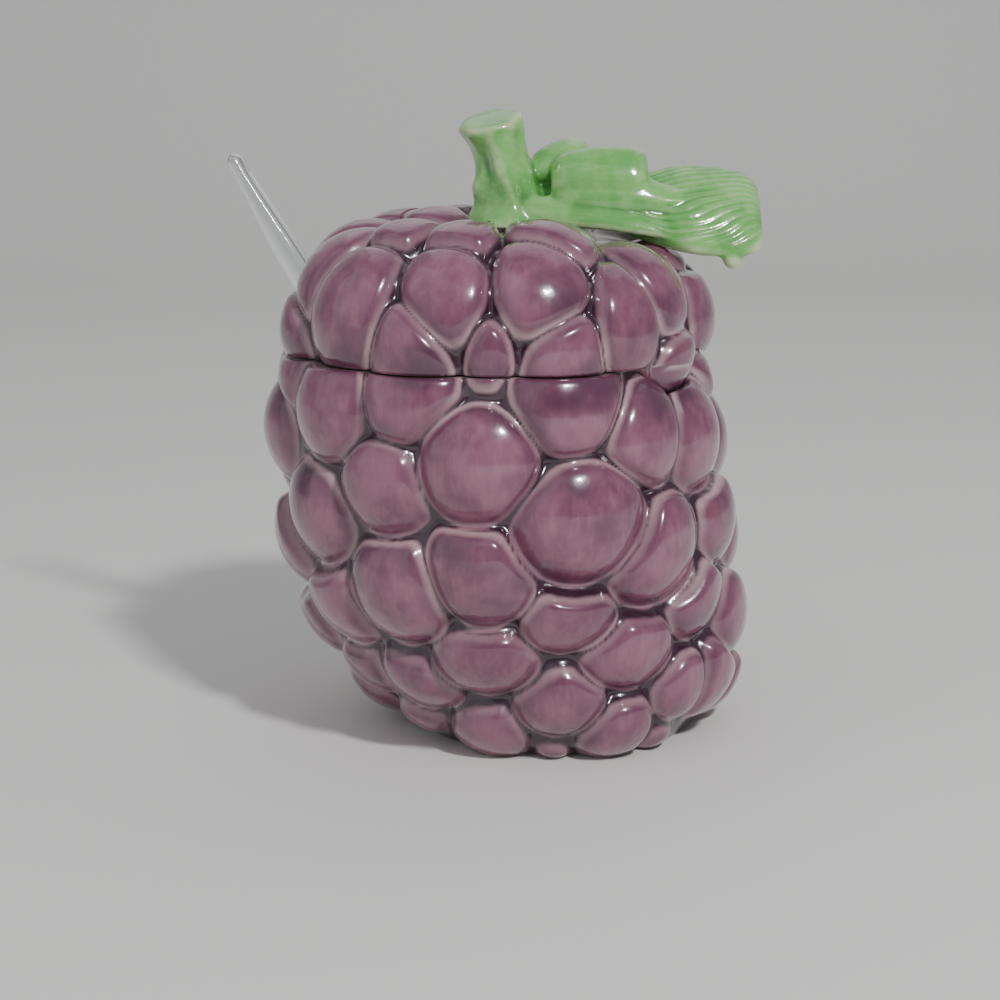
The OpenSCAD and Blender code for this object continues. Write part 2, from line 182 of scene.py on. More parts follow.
# The bunch of grapes
AROUND, POT_RINGS, LID_RINGS_LOW, LID_RINGS_HIGH = 480, 140, 45, 64
ROUNDING, GROOVE = 1.1, 0.1   # of the grapes' corners, and half the width of the lines between them
UNDER, STEEP = 1.1, 0.72   # how far a ball's edge may lie under the body, and the ball's slope there
TO_LINE = 0.46   # turns a difference in depth into the distance from the line halfway
FULLER = 0.10    # share by which a grape's flanks are fuller than its ball's
ROLL_FROM, ROLL_W = -0.5, 2.1   # where a grape's rolled edge starts, and its width
LINE_LOW, LINE_DEEP = 0.10, 0.4   # share of the ball's height left in the lines, and mm cut away
EASE_ROUNDS = 3   # evens out the steps that a grid makes along slanting lines
GOLDEN = 0.618034   # steps of this share of a turn give neighbours unlike tones
turn = round_turn(AROUND)


def axis_x(z):
    """X of the pot's middle line at height z."""
    return -LEAN * np.interp(z / POT_H, AXIS[:, 0], AXIS[:, 1])


def swell(a, z, inset=0.0, soft=0.7):
    """A point of the body between its grapes: from the middle line, straight out to the farthest of
    the four swells (spheres), with the creases between them rounded by a soft maximum."""
    x0, s = axis_x(z), []
    for lean, high, radius in SWELLS:
        ox, oz = -LEAN * lean - x0, POT_H * high - z
        b = np.sin(a) * ox
        q = b * b - ox * ox - oz * oz + (radius - inset) ** 2
        s.append(np.where(q > 0, b + np.sqrt(np.maximum(q, 0)), 0))
    s = np.array(s)
    far = s.max(0)
    reach = far + soft * np.log(np.exp((s - far) / soft).sum(0)) - soft * 0.4
    return polar(a, reach, z) + beside(x0)


def lid_curve(length):
    """Radius and height of the lid's side at a length along it: up the wall, round the shoulder,
    then in over the slightly domed top."""
    d = np.clip(length, 0, SIDE_L)
    e = np.clip(d - SIDE, 0, ARC_L) / ROUND
    r = LID_R - ROUND + ROUND * np.cos(e) - np.maximum(d - SIDE - ARC_L, 0)
    z = POT_H + np.minimum(d, SIDE) + ROUND * np.sin(e)
    dome = np.sqrt(np.maximum(DOME_R ** 2 - r ** 2, 0)) - DOME_R + DOME
    return r, z + np.where(r < LID_R - ROUND, dome, 0)


def lid_wall(a, d):
    """A point of the lid between its grapes."""
    return lid_polar(a, *lid_curve(d))


def grapes_on(place, table, scale, crest, fall, by_size):
    """Each grape is a ball whose middle lies under the surface, so that it stands out by its share
    of PROUD. Grapes near the crest, and larger ones, lie in front of the others. Returns middles,
    radii and that order."""
    t = np.array(table, float)
    a, v, size = np.radians(t[:, 0]), t[:, 1] * scale, t[:, 2]
    middle = place(a, v) + normal_of(place, a, v) * ((PROUD - GRAPE_R) * size)[:, None]
    order = by_size * np.maximum(size - 1, 0) - fall * np.abs(t[:, 1] - crest)
    return middle, GRAPE_R * size, order


pot_balls = grapes_on(lambda a, z: swell(a, z, soft=0.01), POT_GRAPES, POT_H,
                      crest=0.83, fall=3.0, by_size=3)
lid_balls, key_ball, rise_ball = (
    grapes_on(lid_wall, table, SIDE_L, crest=0.31, fall=1.4, by_size=0)
    for table in (LID_GRAPES, [KEY], [RISE]))
rise_ball[0][0, 2] = POT_H + RIM_RISE - rise_ball[1][0]


def joined(*groups):
    """Groups of balls as one."""
    return tuple(np.concatenate(parts) for parts in zip(*groups))


def grape_field(points, balls):
    """For every point the grape that owns it and how far inside that grape's edge it lies. A grape's
    edge is its own circle, or the line halfway to a neighbour that lies as far in front as it does,
    or the circle of a neighbour in front of it, and in between, a mix of these by the difference in
    order. Of all these distances a soft minimum is taken, which rounds the corners. They are clipped
    so that no exponential runs over."""
    middle, radius, order = balls
    deep = np.array([r - np.linalg.norm(points - m, axis=-1) for m, r in zip(middle, radius)])
    own = (deep + UNDER) / STEEP
    edge, owner = np.full(points.shape[:-1], -1e3), np.zeros(points.shape[:-1], int)
    for i in range(len(radius)):
        total = np.exp(-np.maximum(own[i], -12) / ROUNDING)
        for j in range(len(radius)):
            apart = np.linalg.norm(middle[i] - middle[j])
            if i == j or apart > radius[i] + radius[j]:
                continue
            step = np.clip(order[i] - order[j], -1, 1)
            halfway = (deep[i] - deep[j]) * TO_LINE * (radius[i] + radius[j]) / max(apart, 1.0)
            inside = (1 - abs(step)) * halfway + abs(step) * (own[i] if step > 0 else -own[j])
            total += (1 - max(step, 0)) * np.exp(-np.clip(inside, -12, 30) / ROUNDING)
        mine = -ROUNDING * np.log(total)
        owner = np.where(mine > edge, i, owner)
        edge = np.maximum(mine, edge)
    return edge - GROOVE, owner


def eased(grid, rounds):
    """Each value of a grid of rings moves to the mean of itself, twice, and its two neighbours, first
    round the ring and then from ring to ring, a number of rounds over."""
    for _ in range(rounds):
        grid = (np.roll(grid, 1, 1) + 2 * grid + np.roll(grid, -1, 1)) / 4
        grid[1:-1] = (grid[:-2] + 2 * grid[1:-1] + grid[2:]) / 4
    return grid


def grape_relief(points, out, balls, shade_from, shade_to):
    """Height of the moulded grapes over the body: how far straight out the owner's ball lies, from
    the line-and-sphere equation, a little fuller than round. Towards its edge it rolls off on a
    parabola, down into the line between the grapes. Returns the height, the distance in from the
    edge (negative in the line), and a tone mark with painted shade in it: part of it is each grape's
    own tone, part is painted shade on one side of each grape, which follows how high the point lies
    on its grape."""
    edge, owner = grape_field(points, balls)
    middle, radius = balls[0][owner], balls[1][owner]
    away = points - middle
    along = (away * out).sum(-1)
    ball = -along + np.sqrt(np.maximum(along ** 2 - (away ** 2).sum(-1) + radius ** 2, 0))
    ball = np.where((away ** 2).sum(-1) < radius ** 2, ball, 0)
    ball = ball * (1 + FULLER * np.clip(1 - ball / (PROUD * radius / GRAPE_R), 0, 1))
    roll = 1 - (1 - np.clip((edge - ROLL_FROM) / ROLL_W, 0, 1)) ** 2
    line = LINE_DEEP * (1 - smooth(-0.4, 1.2, edge))
    height = eased(ball * (LINE_LOW + (1 - LINE_LOW) * roll) - line, EASE_ROUNDS)
    own_tone = (owner * GOLDEN) % 1.0
    # painted shade on one side of each grape, from how high the point lies on it
    painted_shade = smooth(shade_from, shade_to, away[..., 2] / radius + 0.3 * (own_tone - 0.5))
    return height, edge, 0.45 * own_tone + 0.55 * painted_shade


def ball_top(points, balls, sign, more=0.0):
    """Height of the upper (sign 1) or lower (sign -1) surface of one ball over points in plan,
    and where the ball reaches at all."""
    middle, radius = balls[0][0], balls[1][0] + more
    q = radius ** 2 - (points[..., 0] - middle[0]) ** 2 - (points[..., 1] - middle[1]) ** 2
    return middle[2] + sign * np.sqrt(np.maximum(q, 0)), q > 0


def rim_height(points):
    """Top of the pot over plan points: the level seam, raised over the tall rim grape and sunk where
    the lid's low grape drops in."""
    z = np.full(points.shape[:-1], POT_H)
    high, on = ball_top(points, rise_ball, 1)
    from_lid = np.hypot(points[..., 0] + LEAN, points[..., 1])
    z = np.where(on & (from_lid > MOUTH_R + WALL * 0.6), np.maximum(z, high), z)
    low, on = ball_top(points, key_ball, -1, KEY_GAP)
    return np.where(on, np.minimum(z, low), z)


def marks(edge=6.0, tone_and_shade=0.5, bare=0.0, inner=0.0):
    """Values that the glaze reads: distance from a grape's edge, tone with painted shade in it,
    unglazed, inside.
    """
    return {"edge": edge, "tone_and_shade": tone_and_shade, "bare": bare, "inner": inner}


def stacked(*parts):
    """Groups of rings, each with its marks, as the rings and marks of one skin."""
    rows = np.concatenate([rings for rings, _ in parts])
    values = {key: np.concatenate([np.broadcast_to(np.asarray(own[key], float), rings.shape[:2])
                                   for rings, own in parts]) for key in marks()}
    return rows, values


FOOT_SHARES = (0.02, 0.35, 0.7, 0.96)   # rings of the flat foot, as shares of its outline
FLOOR_ROUND = 2.5   # height of the rounded corner between wall and floor inside
FLOOR_RINGS = ((0.985, 0.9), (0.95, 1.7), (0.88, 2.3), (0.6, 2.5), (0.3, 2.5), (0.03, 2.5))


def pot_rows():
    """Rings of the pot from the middle of its foot, up the outside, in over the rim and down the
    smooth inside to the middle of the floor. The rim is the seam's plane, raised over the tall rim
    grape; where the lid's low grape drops in, it is the sunk lower half of that ball."""
    a = turn[None, :]
    z = np.linspace(0, POT_H, POT_RINGS)[:, None]
    base, out = swell(a, z), normal_of(swell, a, z)
    # the pot's grapes: painted shade on the upper part of each, under the grape above
    height, edge, tone_and_shade = grape_relief(
        base, out, joined(pot_balls, rise_ball), shade_from=-0.1, shade_to=0.75)
    # painted shade under the lid: the top rings of the pot are darker
    tone_and_shade = tone_and_shade + 0.35 * smooth(0.86, 0.97, z / POT_H)
    outside = base + out * height[..., None]
    outside[..., 2] = np.maximum(outside[..., 2], 0)
    bare = (outside[..., 2] < 0.05) * 1.0
    outside[..., 2] = soft_min(outside[..., 2], rim_height(outside), 1.2)
    foot = outside[:1] * np.array(FOOT_SHARES)[:, None, None]
    foot[..., 2] = 0

    pocket, on = ball_top(lid_polar(a, MOUTH_R + 1.7, 0), key_ball, -1, KEY_GAP)
    top = np.minimum(POT_H - 2.4, np.where(on, pocket - 0.2, POT_H))
    low = FLOOR + FLOOR_ROUND
    inside = swell(a, low + (top - low) * (1 - np.linspace(0, 1, 20)[:, None]), WALL)
    sunk = smooth(POT_H - 2.5, POT_H - 4, top)[..., None]
    mouth = lid_polar(a, MOUTH_R, POT_H) * (1 - sunk) + inside[:1] * sunk
    lip = [lid_polar(a, MOUTH_R + WALL * 0.6 + side, POT_H) for side in (0.05, -0.05)]
    t = np.linspace(0, 1, 9)[1:, None, None]
    rim_out = outside[-1:] * (1 - t) + lip[0] * t
    t = np.linspace(0, 1, 6)[:, None, None]
    rim_in = lip[1] * (1 - t) + mouth * t
    rim = np.concatenate([rim_out, rim_in])
    rim[..., 2] = rim_height(rim)
    rim[-1, :, 2] -= 0.35
    neck = (rim[-1:] + inside[:1]) / 2
    shares, drops = np.array(FLOOR_RINGS).T
    floor = inside[-1:] * shares[:, None, None]
    floor[..., 2] = low - drops[:, None]
    return stacked(
        (foot, marks(bare=1)), (outside, marks(edge, tone_and_shade, bare)), (rim, marks(inner=0.5)),
        (neck, marks(inner=1)), (inside, marks(inner=1)), (floor, marks(inner=1)))


SLOT_D, SLOT_HALF = 19.4, 11.2   # length along the side where the slot's roof comes out; degrees
SLOT_IN = 45.5   # degrees from upright where the slot's roof leaves the inside of the shoulder
SHOULDER_END = 59.8   # degrees from upright where the inside of the shoulder ends elsewhere
LEVEL_D = 22.0   # length along the side from which the rings run level, also over the slot
PAD_R, PAD_END = 8.6, 9.6   # the flat pad under the stem, and where the grapes are whole again
SEAT_RINGS = 15
NECK = (   # radius and height: down from the shoulder and round the locating ring
    (34.65, 87.5), (34.3, 85.2), (33.4, 82.8), (RING_IN, 80.6), (RING_IN, RING_LOW + 0.8),
    (RING_IN + 0.25, RING_LOW + 0.2), (RING_IN + 0.8, RING_LOW), (RING_R - 0.8, RING_LOW),
    (RING_R - 0.25, RING_LOW + 0.2), (RING_R, RING_LOW + 0.8))


def under_shoulder(phi):
    """Radius and height of the inside of the lid's shoulder, phi radians from upright."""
    return (LID_R - ROUND + (ROUND - WALL) * np.sin(phi),
            POT_H + SIDE + (ROUND - WALL) * np.cos(phi))


def lid_rows():
    """Rings of the lid from the middle of its underside, out under the dome, down and round the
    locating ring, out along the seat and up the outside to the middle of the top. In the columns of
    the spoon's slot the ring, seat and low wall lie on the slot's sloping roof instead, which leaves
    the slot open below. The low grape hangs below the seat as the lower half of its ball."""
    a = turn[None, :]
    off = (np.degrees(a) - SPOON_AZ + 180) % 360 - 180
    slot = 1 - smooth(SLOT_HALF - 0.3, SLOT_HALF + 0.3, np.abs(off))
    w = slot[..., None]
    r = np.linspace(0.6, LID_R - ROUND, 12)[:-1, None]
    z = LID_TOP + DOME - DOME_R + np.sqrt((DOME_R - WALL) ** 2 - r ** 2)
    phi = np.radians(
        np.linspace(0, 1, 15)[:, None] * (SHOULDER_END - (SHOULDER_END - SLOT_IN) * slot))
    dome = np.concatenate([lid_polar(a, r, z), lid_polar(a, *under_shoulder(phi))])

    d0 = SLOT_D * slot
    d_low = d0 + (LEVEL_D - d0) * np.linspace(0, 1, LID_RINGS_LOW)[:-1, None]
    d_high = np.broadcast_to(np.linspace(LEVEL_D, SIDE_L - 1, LID_RINGS_HIGH)[:, None],
                             (LID_RINGS_HIGH, AROUND))
    d = np.concatenate([d_low, d_high])
    base, out = lid_wall(a, d), normal_of(lid_wall, a, d)
    # the lid's grapes: painted shade on the lower part of each
    height, edge, tone_and_shade = grape_relief(
        base, out, joined(lid_balls, key_ball), shade_from=0.45, shade_to=-0.35)
    height = height * (1 - slot * (1 - smooth(-0.5, 2.5, d - SLOT_D)))
    outside = base + out * height[..., None]
    outside[..., 2] += SEAM_GAP * (1 - smooth(0, 3, d))
    pad = 1 - smooth(PAD_R, PAD_END, np.hypot(outside[..., 0] - STEM_X, outside[..., 1]))
    outside[..., 2] = outside[..., 2] * (1 - pad) + (STEM_Z - 0.05) * pad

    r_out, z_out = lid_curve(SLOT_D)
    r_in, z_in = under_shoulder(math.radians(SLOT_IN))
    t = np.linspace(0.02, 1, len(NECK) + SEAT_RINGS)[:, None]
    roof = lid_polar(a, r_in + (r_out - r_in) * t, z_in + (z_out - z_in) * t)
    r, z = np.array(NECK).T[:, :, None]
    neck = lid_polar(a, r, z) * (1 - w) + roof[:len(NECK)] * w
    inner = lid_polar(a, RING_R + 0.3, POT_H)
    t = np.sin(np.linspace(0, math.pi / 2, SEAT_RINGS + 1))[:-1, None, None]
    seat = inner * (1 - t) + outside[:1] * t
    hang, on = ball_top(seat, key_ball, -1)
    seat[..., 2] = np.where(on, np.minimum(POT_H + SEAM_GAP, hang), POT_H + SEAM_GAP)
    seat = seat * (1 - w) + roof[-SEAT_RINGS:] * w
    hangs = smooth(POT_H, POT_H - 1.0, seat[..., 2])
    for part in (seat, outside):
        high, on = ball_top(part, rise_ball, 1, KEY_GAP)
        part[..., 2] = np.where(on, np.maximum(part[..., 2], high), part[..., 2])
    return stacked(
        (dome, marks(inner=1)), (neck, marks(inner=1)), (seat, marks(inner=0.6 * (1 - hangs))),
        (outside, marks(edge, tone_and_shade)))


# Stem and leaf. Each row of a lobe: place along, back and up as shares of the leaf's length, then
# half width, half thickness, tilt and sag as shares
BLADE = [
    (-.17, .02, .075, .34, .80, .90, 0), (-.04, .02, .085, .36, .80, 1.00, 0),
    (.10, .00, .08, .38, .80, 1.00, .05), (.28, -.01, .07, .50, .85, 1.05, .10),
    (.46, -.03, .06, .73, 1.00, 1.05, .20), (.62, -.06, .065, .95, 1.00, 1.00, .35),
    (.76, -.06, .055, .98, 1.00, 1.00, .40), (.89, -.06, .045, .94, .95, 1.00, .35),
    (.97, -.06, .025, .80, .75, 1.00, .20), (1.0, -.06, .01, .60, .35, 1.00, 0)]
FOLD = [
    (.00, -.04, .175, .26, .80, 1.35, 0), (.06, -.055, .20, .38, 1.15, 1.35, .10),
    (.20, -.06, .215, .44, 1.30, 1.35, .15), (.34, -.06, .215, .46, 1.30, 1.35, .15),
    (.42, -.06, .21, .44, 1.15, 1.35, .10), (.46, -.06, .205, .32, .65, 1.35, 0)]
BACK_LOBE = [
    (-.10, .06, .22, .24, .60, .80, 0), (-.05, .07, .245, .34, .90, .80, .05),
    (.05, .08, .275, .40, 1.10, .80, .10), (.13, .08, .29, .38, 1.00, .80, .10),
    (.20, .08, .27, .26, .60, .80, 0)]
ROOT = [
    (-.22, -.10, .06, .26, .80, .90, 0), (0, -.13, .04, .32, .70, 1.0, 0),
    (.2, -.14, .035, .36, .60, 1.0, 0), (.4, -.15, .01, .36, .55, 1.0, 0),
    (.6, -.155, -.02, .34, .45, 1.0, 0), (.82, -.16, -.04, .26, .25, 1.0, 0)]
FILL = [
    (.02, -.08, .11, .20, .60, 1.2, 0), (.12, -.10, .125, .32, .85, 1.2, 0),
    (.30, -.105, .125, .36, .90, 1.2, 0), (.44, -.105, .115, .34, .85, 1.2, 0),
    (.60, -.10, .09, .24, .50, 1.1, 0), (.76, -.09, .07, .14, .25, 1.0, 0)]
VOXEL, RELAX_ROUNDS = 0.38, 15   # of the melted knob
VEIN_H, VEIN_SINK = 0.17, 0.09   # height of the veins, and how far the face is let in between them
SLICE_Z, SLICE_X, SLICE_Y = 124.5, 0.18, 0.28   # the stump's sliced top: height and its two slopes


def through(table, count):
    """Rows of a table as evenly spaced stations on a smooth curve through them. Between two rows it is
    a cubic, and at each row its slope is half the step from the row before to the row after."""
    t = np.array(table, float)
    t = np.concatenate([2 * t[:1] - t[1:2], t, 2 * t[-1:] - t[-2:-1]])
    s = np.linspace(0, len(t) - 3 - 1e-9, count)
    i, f = s.astype(int), (s % 1)[:, None]
    p0, p1, p2, p3 = t[i], t[i + 1], t[i + 2], t[i + 3]
    bend = 2 * p0 - 5 * p1 + 4 * p2 - p3 + f * (3 * (p1 - p2) + p3 - p0)
    return p1 + 0.5 * f * (p2 - p0 + f * bend)


def leaf_lobe(table, count, around, power=0.85):
    """Slices of one lobe of the leaf, as rings: a rounded oblong (a superellipse) with its half width
    across and half thickness, sagging as the square of the way across, then tilted back."""
    x, y, z, half, thick, tilt, sag = through(table, count).T[:, :, None]
    a = round_turn(around)
    c, s = np.cos(a), np.sin(a)
    u = np.sign(c) * np.abs(c) ** power * np.ones_like(x)
    v = LEAF_T * (thick * np.sign(s) * np.abs(s) ** power - sag * u ** 2)
    u, tilt = u * LEAF_W * half, np.radians(LEAF_TILT * tilt)
    return np.stack([JOINT_X + LEAF_L * x + 0 * u, LEAF_L * y + u * np.cos(tilt) - v * np.sin(tilt),
                     STEM_Z + LEAF_L * z + u * np.sin(tilt) + v * np.cos(tilt)], -1)


def ball_rows(x, y, z, radius):
    """A ball as rings, from its low pole to its high one."""
    t = np.linspace(0.03, math.pi - 0.03, 24)[:, None]
    return polar(round_turn(32)[None, :], radius * np.sin(t), z - radius * np.cos(t)) + [x, y, 0]


def stem_rows():
    """The stump: a pinched tube on a leaning middle line, flared at its foot, with a knot near its
    top and another low on the left, and ridges that part like a Y down its front. Its top is sliced
    by a plane that falls to the left and to the front, with a rounded edge and its middle raised a
    little."""
    t = np.linspace(-0.02, 1.25, 110)[:, None]
    a = round_turn(96)[None, :]
    reach = np.interp(t, [-.02, .05, .14, .26, .40, .55, .72, .86, 1.0, 1.25],
                      [8.0, 7.6, 6.9, 6.3, 5.9, 5.6, 5.9, 6.3, 6.1, 6.0])
    mid = STEM_X + 0.9 - STEM_LEAN * (0.2 * smooth(0, .36, t) + 0.95 * smooth(.25, 1.05, t))

    def lump(at_a, at_t, wide_a, wide_t):
        """A bell-shaped swelling round one direction and height."""
        gap = (np.degrees(a) - at_a + 180) % 360 - 180
        return np.exp(-(gap / wide_a) ** 2 - ((t - at_t) / wide_t) ** 2)

    foot = lump(5, 0, 125, .09)
    for height, swelling in (
            (1.2, lump(-80, .80, 36, .12)), (1.1, lump(-75, .28, 28, .09)),   # the two knots
            (0.9, lump(15 - 30 * t, .52, 13, .28)),   # the ridges, which lean as they rise
            (0.9, lump(-20 + 60 * (.6 - t), .3, 13, .24)),
            (-0.8, lump(-38, .52, 16, .16)), (-0.7, lump(48, .60, 18, .2)),   # hollows beside them
            (1.9, foot),
            (0.18, np.cos(5 * a + 4 * t)), (0.12, np.cos(9 * a - 7 * t))):   # coarse grain
        reach = reach + height * swelling
    side = polar(a, reach, STEM_Z + STEM_H * t - 1.2 * foot) + beside(mid)
    slice_z = SLICE_Z + SLICE_X * (side[..., 0] - STEM_X + STEM_LEAN) + SLICE_Y * side[..., 1]
    side[..., 2] = soft_min(side[..., 2], slice_z, 4.5)
    middle = side[-1:].mean(1, keepdims=True)
    k = np.linspace(1, 0.03, 12)[1:, None, None]
    cap = middle + (side[-1:] - middle) * k
    cap[..., 2] = cap[..., 2] + 0.25 * (1 - k[..., 0] ** 2)
    return np.concatenate([side, cap])


def numbers_of(items, key, width, kind=float):
    """One property of all vertices or edges, as an array with a row for each."""
    values = np.empty(len(items) * width, kind)
    items.foreach_get(key, values)
    return values.reshape(-1, width)


def normals_at(mesh, points):
    """Vertex normals of a mesh once its points, in millimetres, have been put where given."""
    mesh.vertices.foreach_set("co", (points * 0.001).ravel())
    mesh.update()
    return numbers_of(mesh.vertex_normals, "vector", 3)


def moved_by(points, pairs, keep=0.5, rounds=1):
    """Each vertex moves part of the way to the mean of its neighbours, a number of rounds over."""
    count = np.bincount(pairs.ravel(), minlength=len(points))[:, None]
    for _ in range(rounds):
        total = np.zeros_like(points)
        np.add.at(total, pairs[:, 0], points[pairs[:, 1]])
        np.add.at(total, pairs[:, 1], points[pairs[:, 0]])
        points = points * keep + total / count * (1 - keep)
    return points


def fused(name, shells):
    """Closed shells melted into one: voxel remeshed together, then relaxed so creases fill in as
    slip does. Returns the mesh, its points and the pairs of points that its edges join."""
    points, faces, start = [], [], 0
    for rows in shells:
        shell, quads, ends = closed_rings(rows)
        points.append(shell)
        faces += (quads + start).tolist() + (ends + start).tolist()
        start += len(shell)
    lump = mesh_piece(name, np.concatenate(points), faces, None, {})
    melt = lump.modifiers.new("melt", "REMESH")
    melt.mode, melt.voxel_size = "VOXEL", VOXEL * 0.001
    ready = lump.evaluated_get(bpy.context.evaluated_depsgraph_get())
    whole = bpy.data.meshes.new_from_object(ready)
    bpy.data.objects.remove(lump)
    pairs = numbers_of(whole.edges, "vertices", 2, int)
    points = numbers_of(whole.vertices, "co", 3) * 1000
    return whole, moved_by(points, pairs, rounds=RELAX_ROUNDS), pairs


def vein_height(p):
    """Height of the veins over points of the leaf: ridges and hollows that follow the blade and fan
    out to its end, from the share across less a square of the share along, a little uneven. They
    fade out at the blade's ends and edges and away from its upper face."""
    table = through(BLADE, 400)
    along = (p[:, 0] - JOINT_X) / LEAF_L
    y, z, half, tilt = (np.interp(along, table[:, 0], table[:, i]) for i in (1, 2, 3, 5))
    tilt = np.radians(LEAF_TILT * tilt)
    dy, dz = p[:, 1] - LEAF_L * y, p[:, 2] - STEM_Z - LEAF_L * z
    across = (dy * np.cos(tilt) + dz * np.sin(tilt)) / (LEAF_W * half)
    up = dz * np.cos(tilt) - dy * np.sin(tilt)
    wave = (across * 6.5 - 6 * along ** 2 + 0.3 * np.sin(along * 6 + across * 4)
            + 0.08 * np.sin(along * 17 + across * 9))
    vein = np.abs((wave % 1) - 0.5) * 2
    face = smooth(0.0, 1.0, up) * smooth(.10, .34, along) * (1 - smooth(.93, 1.0, along))
    face = face * (1 - smooth(.85, 1.0, np.abs(across))) * (1 - smooth(3.5, 5.0, up))
    return (VEIN_H * smooth(0.1, 0.9, vein) - VEIN_SINK) * face


def half_of(mesh, name, right, material):
    """The part of the knob to the right or left of the joint's plane, closed there with a flat face
    and sharp edges."""
    work = bmesh.new()
    work.from_mesh(mesh)
    cut = bmesh.ops.bisect_plane(
        work, geom=work.verts[:] + work.edges[:] + work.faces[:],
        plane_co=(JOINT_X * 0.001, 0, 0), plane_no=(1, 0, 0),
        clear_inner=right, clear_outer=not right)["geom_cut"]
    edges = [e for e in cut if isinstance(e, bmesh.types.BMEdge)]
    bmesh.ops.holes_fill(work, edges=edges)
    for e in edges:
        e.smooth = False
    half = bpy.data.meshes.new(name)
    work.to_mesh(half)
    work.free()
    half.materials.append(material)
    half.polygons.foreach_set("use_smooth", np.ones(len(half.polygons), bool))
    piece = bpy.data.objects.new(name, half)
    bpy.context.scene.collection.objects.link(piece)
    return piece


def knob_pieces(material):
    """Stem and leaf are one moulding: their shells are melted together, the leaf's face is carved
    with veins, and the whole is cut at the joint into two closed pieces. Each vertex keeps how far
    it stands out of its neighbourhood, which thins the glaze on ridges; where it is sunk, the hollow
    is painted a deeper green, partly as painted shade."""
    x, y, z = JOINT_X + LEAF_L * .85, -LEAF_L * .22, STEM_Z - LEAF_L * .18   # the nub under the leaf
    mesh, p, pairs = fused("knob", [
        stem_rows(), leaf_lobe(BLADE, 120, 72), leaf_lobe(FOLD, 70, 56, 0.7),
        leaf_lobe(BACK_LOBE, 50, 48), leaf_lobe(ROOT, 100, 40, 1.0), leaf_lobe(FILL, 80, 40, 1.0),
        ball_rows(x, y, z, 2.0), ball_rows(x - .3, y + .4, z + 2.2, 1.9)])
    p = p + normals_at(mesh, p) * vein_height(p)[:, None]
    stands = ((p - moved_by(p, pairs, 0.0, 7)) * normals_at(mesh, p)).sum(1)
    stands = moved_by(stands[:, None], pairs, 0.5, 2)[:, 0].astype(np.float32)
    mesh.attributes.new("stands", "FLOAT", "POINT").data.foreach_set("value", stands)
    return half_of(mesh, "stem_stump", False, material), half_of(mesh, "leaf_folded", True, material)


# Spoon
BOWL_DIP, FLUTE = 5.0, 0.45   # depth of the bowl and of the handle's flute
HANDLE_SHARES = ([-1, -.75, -.4, 0, .35, .7, 1], [.50, .58, .86, 1, 1, .68, .3])


def spoon_rows():
    """Rings along the spoon's length, from the low end of its bowl to the handle's tip. Across, each
    ring is an oval; its width is the larger of the handle's and the chord of the round bowl, and its
    middle sinks as 1 - (distance from the bowl's middle / radius) squared. The handle has a shallow
    flute along its upper face."""
    bowl_at = SPOON_DOWN - BOWL_R
    bowl = -SPOON_DOWN + BOWL_R * (1 - np.cos(np.linspace(0.06, math.pi * 0.8, 60)))
    tip = SPOON_UP - TIP_R + TIP_R * np.sin(np.linspace(0, 1.5, 14))
    s = np.concatenate([bowl, np.linspace(bowl[-1], tip[0], 130)[1:-1], tip])[:, None]
    share = np.where(s < 0, s / (bowl_at - BOWL_R * 0.84), s / SPOON_UP)
    half = TIP_R + (HANDLE_R - TIP_R) * np.interp(share, *HANDLE_SHARES)
    half = half * np.sqrt(np.maximum(1 - (1 - np.minimum(SPOON_UP - s, TIP_R) / TIP_R) ** 2, 0.001))
    from_bowl = s + bowl_at
    chord = np.sqrt(np.maximum(BOWL_R ** 2 - from_bowl ** 2, 0))
    wide = np.where(from_bowl < 0, chord, -soft_min(-chord, -half, 3.0))
    wide = np.maximum(wide, 0.05)
    in_bowl = 1 - smooth(BOWL_R * 0.6, BOWL_R * 1.35, from_bowl)
    pale_edge_share = np.minimum(BOWL_T * 0.5, wide * 0.8)
    deep = half * (1.0 - 0.28 * smooth(0.45, 1, s / SPOON_UP))
    thick = pale_edge_share * in_bowl + deep * (1 - in_bowl)
    a = round_turn(64)[None, :]
    y = wide * np.cos(a)
    dip = np.clip(1 - (from_bowl ** 2 + y ** 2) / BOWL_R ** 2, 0, 1)
    middle = -BOWL_DIP * dip * (1 - smooth(2.0, BOWL_R, from_bowl))
    flute = FLUTE * np.exp(-(y / (0.45 * half)) ** 2) * (1 - in_bowl) * smooth(2, 6, SPOON_UP - s)
    v = middle + thick * np.sin(a) - flute * (np.sin(a) > 0) * np.sin(a)
    lean_a = np.radians(SPOON_A + SPOON_BEND * s / 2)
    r, z = RIM_R + s * np.cos(lean_a), POT_H + s * np.sin(lean_a)
    tilt = np.radians(SPOON_A + SPOON_BEND * s)
    r, z = r - v * np.sin(tilt), z + v * np.cos(tilt)
    az = math.radians(SPOON_AZ)
    rows = np.stack([-LEAN + r * math.sin(az) + y * math.cos(az),
                     -r * math.cos(az) + y * math.sin(az), z], -1)
    return rows[:, ::-1]


# Glazes, clear plastic and paper
EASED, COLOUR, SUM = (
    {"interpolation_type": "SMOOTHSTEP"}, {"data_type": "RGBA"}, {"operation": "MULTIPLY_ADD"})


def linear(code):
    """An sRGB hex colour as the linear colour that shaders take."""
    c = np.array([int(code[i:i + 2], 16) for i in (1, 3, 5)]) / 255
    return (*np.where(c <= 0.04045, c / 12.92, ((c + 0.055) / 1.055) ** 2.4), 1)


def add(tree, kind, settings, inputs):
    """One node, and its outputs in return. settings are its own by name. inputs are by name or
    number: a number is set, a hex colour is set as a linear one, another node's output is linked."""
    node = tree.nodes.new("ShaderNode" + kind)
    for key, value in settings.items():
        setattr(node, key, value)
    for key, value in inputs.items():
        if isinstance(value, bpy.types.NodeSocket):
            tree.links.new(value, node.inputs[key])
        else:
            node.inputs[key].default_value = linear(value) if isinstance(value, str) else value
    return node.outputs


